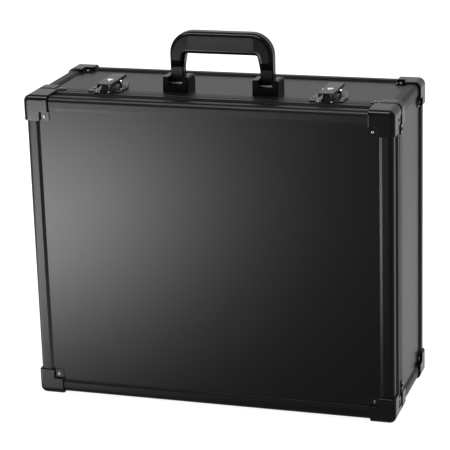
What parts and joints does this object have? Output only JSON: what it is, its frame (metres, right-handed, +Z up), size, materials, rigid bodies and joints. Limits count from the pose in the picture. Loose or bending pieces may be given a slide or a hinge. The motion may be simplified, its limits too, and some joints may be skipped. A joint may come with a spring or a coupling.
{
  "type": "laptop hard case",
  "caption": "Laptop hard case with a hinged lid, slotted edge extrusions, riveted corner castings, spring latches with locks, a folding handle and a foam bay.",
  "frame": {"origin": "middle of the footprint, on the surface the corner castings stand on", "axes": "+X to the right seen from the lid, -Y towards the lid's face, +Z up"},
  "size_m": [0.4618, 0.1818, 0.458],
  "materials": {
    "laminate_black": "fine textured laminate",
    "extrusion_black": "satin black anodised",
    "casting_black": "gloss black powder coat",
    "rivet_black": "satin black",
    "handle_black": "semi-gloss moulding",
    "inlay_grey": "fine matt grain",
    "latch_black": "semi-gloss black enamel",
    "lock_chrome": "polished",
    "steel_zinc": "zinc plated",
    "foam_grey": "open-cell foam"
  },
  "bodies": {
    "base": {"rear_rail_top": "extrusion_black", "rear_rail_bottom": "extrusion_black", "rear_rail_left": "extrusion_black", "rear_rail_right": "extrusion_black", "base_wall_top": "laminate_black", "base_wall_bottom": "laminate_black", "base_wall_left": "laminate_black", "base_wall_right": "laminate_black", "base_mouth_frame": "extrusion_black", "rear_panel": "laminate_black", "base_rivets": "rivet_black", "base_foam": "foam_grey", "edge_rail_top_left": "extrusion_black", "edge_rail_top_right": "extrusion_black", "edge_rail_bottom_left": "extrusion_black", "edge_rail_bottom_right": "extrusion_black", "rear_corner_top_left": "casting_black", "rear_corner_top_right": "casting_black", "rear_corner_bottom_left": "casting_black", "rear_corner_bottom_right": "casting_black", "base_corner_top_left": "casting_black", "base_corner_top_right": "casting_black", "base_corner_bottom_left": "casting_black", "base_corner_bottom_right": "casting_black", "hinge_leaf_base_left": "steel_zinc", "hinge_leaf_base_right": "steel_zinc", "hinge_pins": "steel_zinc", "handle_pins": "steel_zinc", "handle_backing": "steel_zinc", "latch_pins": "steel_zinc", "latch_springs": "steel_zinc", "handle_bracket_left": "handle_black", "handle_bracket_right": "handle_black", "latch_plate_left": "latch_black", "latch_plate_right": "latch_black"},
    "lid": {"lid_rail_top": "extrusion_black", "lid_rail_bottom": "extrusion_black", "lid_rail_left": "extrusion_black", "lid_rail_right": "extrusion_black", "lid_mouth_frame": "extrusion_black", "lid_panel": "laminate_black", "lid_band": "laminate_black", "lid_rivets": "rivet_black", "lid_foam": "foam_grey", "lid_corner_top_left": "casting_black", "lid_corner_top_right": "casting_black", "lid_corner_bottom_left": "casting_black", "lid_corner_bottom_right": "casting_black", "hinge_leaf_lid_left": "steel_zinc", "hinge_leaf_lid_right": "steel_zinc", "latch_keeper_left": "latch_black", "latch_keeper_right": "latch_black"},
    "handle": {"handle_grip": "handle_black", "handle_inlays": "inlay_grey"},
    "latch_left": {"latch_lever_left": "latch_black", "latch_claw_left": "latch_black"},
    "lock_left": {"latch_lock_left": "lock_chrome"},
    "latch_right": {"latch_lever_right": "latch_black", "latch_claw_right": "latch_black"},
    "lock_right": {"latch_lock_right": "lock_chrome"}
  },
  "joints": [
    {"name": "lid_hinge", "type": "hinge", "parent": "base", "child": "lid", "pos_m": [0, -0.0523, 0.0024], "axis": [1, 0, 0], "range_deg": [0, 95]},
    {"name": "handle_fold", "type": "hinge", "parent": "base", "child": "handle", "pos_m": [0, -0.008, 0.3926], "axis": [-1, 0, 0], "range_deg": [0, 85]},
    {"name": "latch_rock_left", "type": "hinge", "parent": "base", "child": "latch_left", "pos_m": [-0.1395, -0.0185, 0.3926], "axis": [-1, 0, 0], "range_deg": [0, 12], "stiffness_Nm_per_rad": 0.6},
    {"name": "lock_turn_left", "type": "hinge", "parent": "latch_left", "child": "lock_left", "pos_m": [-0.1395, -0.0275, 0.3972], "axis": [0, 0, 1], "range_deg": [0, 90]},
    {"name": "latch_rock_right", "type": "hinge", "parent": "base", "child": "latch_right", "pos_m": [0.1395, -0.0185, 0.3926], "axis": [-1, 0, 0], "range_deg": [0, 12], "stiffness_Nm_per_rad": 0.6},
    {"name": "lock_turn_right", "type": "hinge", "parent": "latch_right", "child": "lock_right", "pos_m": [0.1395, -0.0275, 0.3972], "axis": [0, 0, 1], "range_deg": [0, 90]}
  ]
}
